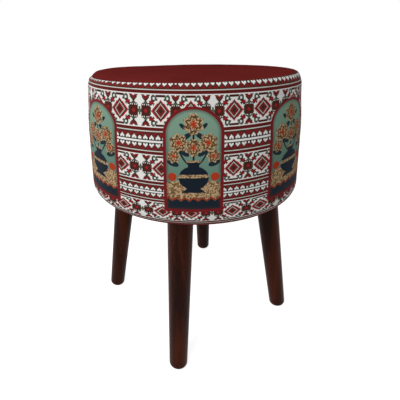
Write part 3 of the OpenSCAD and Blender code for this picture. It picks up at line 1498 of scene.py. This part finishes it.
@dataclass
class Cover:
    """The two sewn covers of the drum. Places are in millimetres, moves in metres."""

    finishes: Finishes
    drape: Drape = Drape()
    columns: int = 240
    rows: int = 74
    hem_points: int = 9
    # The sleeve is cut small, and is free to move between its hem and the seam
    shrink: float = 0.0006
    sleeve_run: ClothRun = ClothRun(0.0018, 180.0)
    sleeve_uneven: float = 0.00045
    free_low: float = 12.0
    free_low_over: float = 20.0
    free_top: float = 2.0
    free_top_over: float = 10.0
    # Pleats of the hem: how many, how unevenly spaced, how high and where
    pleats: int = 46
    pleat_drift: int = 5
    pleat_h: float = 0.0007
    pleat_over_r: float = 6.0
    pleat_over_z: float = 2.0
    # Rings of the top, from and to which radius and how many
    top_columns: int = 144
    top_rings: Tuple[Tuple[float, float, int], ...] = ((0.0, 150.0, 24), (153.0, SEAM_R - SOFT_GAP, 8))
    # The top starts flatter than its crown, is held at its edge, and dips there
    flatter: float = 2.0
    top_run: ClothRun = ClothRun(0.003)
    top_uneven: float = 0.0003
    held_r: float = 161.0
    held_over: float = 3.0
    free_r: float = 163.0
    free_over: float = 12.0
    dip: float = 0.0007
    dip_r: float = 160.0
    dip_over: float = 4.0
    top_share: float = 0.8
    # Stitches of the seam: how many, half the thread, how deep, and one stitch's path
    stitches: int = 330
    thread_half: float = 0.25
    thread_drop: float = 0.9
    stitch_path: Tuple[Point, ...] = ((-0.38, 0.0), (-0.15, 0.35), (0.15, 0.35), (0.38, 0.0))

    def sleeve(self) -> bpy.types.Object:
        """Side cover: printed sleeve from the seam to the hem under the base.

        Returns:
            The piece.
        """
        hem = [(r, UNDER_Z) for r in np.linspace(BOARD_R, HEM_R, self.hem_points)[1:]]
        points, arcs = spread(side_outline(0.0) + hem, self.rows)
        obj = lathe("side_sleeve", [tuple(p) for p in points], self.columns, closed=False)
        self._maps(obj, arcs)
        place = coordinates(obj)
        radius, angle = polar(place)
        height = place[:, 2] / MM
        free = ramp(height, UNDER_Z + self.free_low, self.free_low_over)
        free = free * ramp(height, SEAM_Z - self.free_top, -self.free_top_over)
        place[:, :2] *= (1 - self.shrink * free / radius)[:, None]
        set_coordinates(obj, place)
        self.sleeve_run.swell(obj, 1.0 - free)
        place = coordinates(obj)
        place[:, :2] *= (1 + self.sleeve_uneven * free * wobble(angle, height) / radius)[:, None]
        under = ramp(radius / MM, BOARD_R, -self.pleat_over_r)
        under = under * ramp(height, UNDER_Z + self.pleat_over_z, -self.pleat_over_z)
        ridges = np.maximum(0, np.sin(angle * self.pleats + np.sin(angle * self.pleat_drift))) ** 3
        place[:, 2] += under * self.pleat_h * ridges
        drape = self.drape
        set_coordinates(obj, drape.tip_seam(drape.narrow_flanks(drape.pull_in(place))))
        refine(obj)
        cut_bolts(obj)
        obj.data.materials.append(self.finishes["printed_fabric"])
        return obj

    def _maps(self, obj: bpy.types.Object, arcs: np.ndarray) -> None:
        """Adds the stitch map, the place map and the map for baking.

        Args:
            obj: the sleeve's grid.
            arcs: arc length below the seam of each of its rows.
        """
        around = np.arange(self.columns + 1) * 360 / self.columns + 90
        printed = self.drape.printed_angle(around)
        beyond = self.drape.printed_angle(around[:-1] + 180 / self.columns) > SEAM_DEG
        even = arcs[:, None] - self.drape.drawn_down(around, arcs)
        rows = np.interp(even, ARCS, ROWS)
        outline, _ = spread(side_outline(0.0) + [(HEM_R, UNDER_Z)], self.rows)
        heights = np.interp(even, arcs, outline[:, 1])
        stitches, place, bake = (obj.data.uv_layers.new(name=n) for n in ("Stitches", "Place", "OFBake"))
        down = arcs / arcs[-1]
        wide, high = 1 - 2 * BAKE_EDGE, 0.5 - 2 * BAKE_EDGE
        for face in obj.data.polygons:
            column = face.index % self.columns
            half = 0 if column < self.columns // 2 else 1
            for loop in face.loop_indices:
                row, spot = divmod(obj.data.loops[loop].vertex_index, self.columns)
                spot = spot + self.columns if spot < column else spot
                degrees = printed[spot] - (360 if beyond[column] else 0)
                stitches.data[loop].uv = ((degrees - STAR_DEG) * STITCHES_PER_DEG, rows[row, spot])
                place.data[loop].uv = (degrees, heights[row, spot])
                across = spot / (self.columns / 2) - half
                rise = 0.5 * half + BAKE_EDGE + high * (1 - down[row])
                bake.data[loop].uv = (BAKE_EDGE + wide * across, rise)

    def top(self) -> bpy.types.Object:
        """Top panel: the crowned disc, drawn down at its seam.

        Returns:
            The piece.
        """
        radii = np.concatenate([np.linspace(*rings) for rings in self.top_rings])
        outline = [(float(r), crown_z(float(r)) - self.flatter * (1 - (r / SEAM_R) ** 2)) for r in radii]
        obj = lathe("top_cushion", outline, self.top_columns, closed=False)
        radius = polar(coordinates(obj))[0] / MM
        self.top_run.swell(obj, ramp(radius, self.held_r, self.held_over))
        place = coordinates(obj)
        free = ramp(radius, self.free_r, -self.free_over)
        place[:, 2] += self.top_uneven * free * wobble(polar(place)[1], radius)
        place[:, 2] -= self.dip * ramp(radius, self.dip_r, self.dip_over)
        drape = self.drape
        set_coordinates(obj, drape.narrow_flanks(drape.swell_rim(drape.tip_seam(place))))
        thick = obj.modifiers.new("cloth_thickness", "SOLIDIFY")
        thick.thickness, thick.offset = COVER_T * MM * self.top_share, -1.0
        apply_modifiers(obj)
        refine(obj)
        obj.data.materials.append(self.finishes["red_fabric"])
        return obj

    def thread(self) -> bpy.types.Object:
        """Small stitches that lie in the seam between top and side.

        Returns:
            The piece.
        """
        corners = ((-1, -1), (1, -1), (1, 1), (-1, 1))
        verts, faces = [], []
        for i in range(self.stitches):
            base = len(verts)
            middle = 2 * math.pi * i / self.stitches
            for end, lift in self.stitch_path:
                a = middle + end * 2 * math.pi / self.stitches
                for out, up in corners:
                    r = SEAM_R + out * self.thread_half
                    z = SEAM_Z - self.thread_drop + lift + up * self.thread_half
                    verts.append((r * math.cos(a), r * math.sin(a), z))
            for ring in range(len(self.stitch_path) - 1):
                for k in range(4):
                    a, b = base + 4 * ring + k, base + 4 * ring + (k + 1) % 4
                    faces.append([a, b, b + 4, a + 4])
            faces.append([base + 3, base + 2, base + 1, base])
            faces.append([base + 12, base + 13, base + 14, base + 15])
        obj = mesh_object("seam_thread", verts, faces)
        set_coordinates(obj, self.drape.tip_seam(self.drape.narrow_flanks(coordinates(obj))))
        obj.data.materials.append(self.finishes["seam_thread"])
        return obj


@dataclass
class Padding:
    """The two foam pieces inside the covers. Places in millimetres, the unevenness in metres."""

    finishes: Finishes
    drape: Drape = Drape()
    columns: int = 120
    # How far the seat lies below the cover, and the side inside it
    below: float = 2.2
    inside: float = FOAM_INSET + 2.0
    uneven: float = 0.0003

    def seat(self) -> bpy.types.Object:
        """Crowned pad on the seat board.

        Returns:
            The piece.
        """
        outline = []
        for r in np.linspace(0, PAD_R - 4, 22):
            outline.append((float(r), crown_z(r, self.below) - self.below * (1 - (r / SEAM_R) ** 2)))
        outline += [(PAD_R - 1.5, SEAM_Z - 4), (PAD_R, WALL_TOP_Z), (PAD_R, FLANK_Z), (PAD_R, PAD_Z + 2)]
        outline += [(float(r), PAD_Z) for r in np.linspace(PAD_R - 1, 30, 6)] + [(0.0, PAD_Z)]
        return self._finish("seat_padding", outline, closed=False)

    def side(self) -> bpy.types.Object:
        """Layer wrapped round the drum.

        Returns:
            The piece.
        """
        shell, pad = SHELL_R + SOFT_GAP, PAD_R + SOFT_GAP
        outer = [(max(r, shell), z) for r, z in side_outline(self.inside, 10)]
        outline = [(pad, SEAM_Z - 3)] + outer[1:] + [(shell, UNDER_Z + 6), (shell, PAD_Z - SOFT_GAP)]
        outline += [(pad, z) for z in (PAD_Z - SOFT_GAP, FLANK_Z, WALL_TOP_Z)]
        return self._finish("side_padding", outline, closed=True)

    def _finish(self, name: str, outline: Sequence[Point], closed: bool) -> bpy.types.Object:
        """Lathes a foam piece and draws it in with the cover.

        Args:
            name: object name.
            outline: its outline.
            closed: whether the outline is a ring.

        Returns:
            The piece.
        """
        obj = lathe(name, outline, self.columns, closed)
        place = coordinates(obj)
        radius, angle = polar(place)
        radius = np.maximum(radius, 1e-6)
        outer = radius > (SHELL_R + 2) * MM
        cut = outer * self.uneven * (1 + wobble(angle, place[:, 2] / MM))
        place[:, :2] *= (1 - cut / radius)[:, None]
        set_coordinates(obj, self.drape.narrow_flanks(self.drape.pull_in(place)))
        obj.data.materials.append(self.finishes["foam"])
        return obj


@dataclass
class Underside:
    """The dust cover and the staples that hold the covers. Places are in millimetres."""

    finishes: Finishes
    # The sheet's grid, and its sag towards the middle, in metres
    columns: int = 160
    rings: int = 60
    sag: float = 0.0016
    sag_r: float = 100.0
    sag_over: float = 60.0
    sag_uneven: float = 0.12
    # The staples: how many places round, their circle and depth, the gap at each leg, their lean
    staples: int = 40
    circle: float = 133.0
    drop: float = 0.2
    leg_gap_deg: float = 12.5
    lean: float = 0.12
    lean_step: float = 2.4
    # Half sizes and place of a staple's crown and its two ends, and its rounding in metres
    boxes: Tuple[Tuple[Triple, Triple], ...] = (
        ((0.5, 5.0, 0.25), (0, 0, 0)),
        ((0.4, 0.3, 0.5), (0, 4.7, 0.4)),
        ((0.4, 0.3, 0.5), (0, -4.7, 0.4)),
    )
    rounding: float = 0.00012

    def dust(self) -> bpy.types.Object:
        """Non-woven sheet, sagging a little between its staples.

        Returns:
            The piece.
        """
        radii = np.concatenate([np.linspace(DUST_R - 0.5, 6, self.rings), [0]])
        obj = lathe("dust_sheet", [(float(r), DUST_Z) for r in radii], self.columns, closed=False)
        place = coordinates(obj)
        radius, angle = polar(place)
        radius = radius / MM
        sag = ramp(radius, self.sag_r, -self.sag_over)
        uneven = 1 + self.sag_uneven * wobble(angle, radius)
        place[:, 2] -= self.sag * sag * sag * (3 - 2 * sag) * uneven
        set_coordinates(obj, place)
        cut_bolts(obj)
        obj.data.materials.append(self.finishes["dust_cloth"])
        return obj

    def pins(self) -> bpy.types.Object:
        """Wire staples round the sheet's edge, none under a leg.

        Returns:
            The piece.
        """
        signs = [(x, y, z) for x in (-1, 1) for y in (-1, 1) for z in (-1, 1)]
        quads = ((0, 1, 3, 2), (4, 6, 7, 5), (0, 4, 5, 1), (2, 3, 7, 6), (0, 2, 6, 4), (1, 5, 7, 3))
        verts, faces = [], []
        for i in range(self.staples):
            turn = 2 * math.pi * (i + 0.5) / self.staples
            if abs((math.degrees(turn) + 45) % 90 - 45) < self.leg_gap_deg:
                continue
            frame = Matrix.Rotation(turn + self.lean * math.sin(i * self.lean_step), 4, "Z")
            across, along = self.circle * math.cos(turn), self.circle * math.sin(turn)
            centre = Vector((across, along, LEG_TOP_Z - self.drop))
            for size, offset in self.boxes:
                base = len(verts)
                for sign in signs:
                    local = Vector([s * h for s, h in zip(sign, size)]) + Vector(offset)
                    verts.append(tuple(frame @ local + centre))
                faces += [[base + q for q in quad] for quad in quads]
        obj = mesh_object("staples", verts, faces, smooth=False)
        edge = obj.modifiers.new("rounded", "BEVEL")
        edge.width, edge.segments = self.rounding, 2
        obj.data.materials.append(self.finishes["zinc_steel"])
        return obj


@dataclass(frozen=True)
class Lamp:
    """A soft square lamp. Metres and watts."""

    name: str
    place: Triple
    size: float
    power: float

    def hang(self, aim: Vector) -> None:
        """Places the lamp.

        Args:
            aim: the point it faces.
        """
        data = bpy.data.lights.new(self.name, "AREA")
        data.size, data.energy = self.size, self.power
        obj = bpy.data.objects.new(self.name, data)
        turn = (aim - Vector(self.place)).to_track_quat("-Z", "Y").to_matrix().to_4x4()
        obj.matrix_world = Matrix.Translation(self.place) @ turn
        obj.visible_camera = False
        bpy.context.scene.collection.objects.link(obj)


@dataclass
class Studio:
    """Floor, soft lights and the camera at the photograph's place."""

    # The camera as it was solved from the photograph: millimetres, shares of the frame,
    # metres and radians
    lens: float = 29.92
    sensor: float = 36.0
    shift: Point = (0.0629, -0.1350)
    place: Triple = (0.08280, -0.55294, 0.48233)
    heading: float = 0.206
    tilt: float = 0.299
    roll: float = -0.020
    # The floor's half width in millimetres, its tone, and its own brightness to the camera,
    # which leaves room for a faint shadow
    floor_half: float = 6000.0
    floor_tone: str = "#c2c2c2"
    floor_glow: float = 0.83
    # The room's light, and a soft key at the front left, a weak lamp above and a low one
    # behind at the left
    room_grey: Tone = (0.31, 0.31, 0.31, 1.0)
    white: Tone = (1.0, 1.0, 1.0, 1.0)
    aim: Triple = (0.0, 0.0, 0.3)
    lamps: Tuple[Lamp, ...] = (
        Lamp("key", (-0.66, -1.64, 1.7), 1.2, 34.2),
        Lamp("top", (0.1, 0.7, 2.1), 1.6, 7.0),
        Lamp("low", (-1.7, 0.8, 0.20), 0.8, 12.0),
    )

    def camera(self) -> None:
        """Places the camera that was solved from the photograph."""
        data = bpy.data.cameras.new("camera")
        data.lens, data.sensor_width = self.lens, self.sensor
        data.shift_x, data.shift_y = self.shift
        obj = bpy.data.objects.new("camera", data)
        turn = Matrix.Rotation(self.heading, 4, "Z")
        turn = turn @ Matrix.Rotation(math.pi / 2 - self.tilt, 4, "X")
        turn = turn @ Matrix.Rotation(self.roll, 4, "Z")
        obj.matrix_world = Matrix.Translation(self.place) @ turn
        bpy.context.scene.collection.objects.link(obj)
        bpy.context.scene.camera = obj

    def floor(self) -> None:
        """Lays a plain pale floor that is seen from above only."""
        h = self.floor_half
        obj = mesh_object("floor", [(-h, -h, 0), (h, -h, 0), (h, h, 0), (-h, h, 0)], [[0, 1, 2, 3]])
        s = Surface("floor", Roughness=0.95, Specular_IOR_Level=0.0)
        s.colour(rgb(self.floor_tone))
        s.shader.inputs["Emission Color"].default_value = self.white
        join(s.tree, seen_white(s.tree) * self.floor_glow, s.shader.inputs["Emission Strength"])
        clear = s.tree.nodes.new("ShaderNodeBsdfTransparent")
        side = s.tree.nodes.new("ShaderNodeNewGeometry").outputs["Backfacing"]
        both = s.tree.nodes.new("ShaderNodeMixShader")
        for index, socket in enumerate((side, s.shader.outputs[0], clear.outputs[0])):
            join(s.tree, socket, both.inputs[index])
        join(s.tree, both.outputs[0], s.tree.nodes["Material Output"].inputs["Surface"])
        obj.data.materials.append(s.material)

    def lights(self) -> None:
        """Hangs the lamps."""
        for lamp in self.lamps:
            lamp.hang(Vector(self.aim))

    def room(self) -> None:
        """Makes the room white to the camera and softer to everything else."""
        world = bpy.context.scene.world or bpy.data.worlds.new("room")
        bpy.context.scene.world = world
        world.use_nodes = True
        tree = world.node_tree
        colour = blend(tree, seen_white(tree), self.room_grey, self.white)
        join(tree, colour, tree.nodes["Background"].inputs["Color"])
        bpy.context.scene.view_settings.view_transform = "Standard"


def make_finishes() -> Finishes:
    """Makes all finishes.

    Returns:
        Each material by name.
    """
    made = {
        "printed_fabric": PrintedFabric().build(),
        "red_fabric": RedFabric().build(),
        "seam_thread": Thread().build(),
        "foam": Foam().build(),
        "plywood": Board("plywood", "#a8814f", "#d3b486", 0.0019).build(),
        "fibreboard": Board("fibreboard", "#7b5a3b", "#95724f", 0.01).build(),
        "softwood": Wood("softwood", "#c39f66", "#e6cf9f", 0.65, grain=60.0).build(),
        "zinc_steel": Metal("zinc_steel", "#a9adb1", "#c9ccd0").build(),
        "plated_screw": Metal("plated_screw", "#b98f3c", "#d9b768").build(),
        "dust_cloth": DustCloth().build(),
    }
    for side, (x, y) in LEG_SIDES.items():
        lean = (LEG_SPLAY * y, -LEG_SPLAY * x, 0.0)
        walnut = Wood("dark_walnut_" + side, "#160502", "#461b09", 0.40, gloss=0.06, grain=55.0, turn=lean)
        made["leg_" + side] = walnut.build()
    return made


# Finish of each CAD node that stays, by the start of its name; each leg has its own
NODE_FINISH = {
    "seat_board": "plywood",
    "base_board": "plywood",
    "drum_shell": "fibreboard",
    "frame_screws": "plated_screw",
    "post": "softwood",
    "hanger_bolt": "zinc_steel",
    "tee_nut": "zinc_steel",
}


def dress_frame(nodes: Dict[str, bpy.types.Object], finishes: Finishes) -> None:
    """Gives every CAD node that stays its finish.

    Args:
        nodes: the CAD nodes by name.
        finishes: the materials by name.
    """
    for name, node in nodes.items():
        finish = finishes.get(name)
        for prefix, key in NODE_FINISH.items():
            if name.startswith(prefix):
                finish = finishes[key]
        if finish is not None:
            node.data.materials.clear()
            node.data.materials.append(finish)
            LOG.info("%s: finish %s", name, finish.name)


def main() -> None:
    """Builds the dressed footstool."""
    logging.basicConfig(level=logging.INFO, format="%(name)s: %(message)s")
    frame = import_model()
    studio = Studio()
    studio.camera()
    finishes = make_finishes()
    dress_frame(frame["nodes"], finishes)
    cover, padding, under = Cover(finishes), Padding(finishes), Underside(finishes)
    sleeve, top, thread = cover.sleeve(), cover.top(), cover.thread()
    seat, side = padding.seat(), padding.side()
    dust, pins = under.dust(), under.pins()
    for piece, slot, node in (
        (sleeve, "printed_fabric", "side_cover"),
        (top, "red_fabric", "top_panel"),
        (thread, "red_fabric", None),
        (seat, "foam", "seat_foam"),
        (side, "foam", "side_foam"),
        (dust, "dust_cloth", "dust_cover"),
        (pins, "zinc_steel", None),
    ):
        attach(piece, "root")
        if node:
            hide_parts(node)
        LOG.info("%s: slot %s, %d faces, replaces %s", piece.name, slot, len(piece.data.polygons), node)
    studio.floor()
    studio.lights()
    studio.room()


if __name__ == "__main__":
    main()
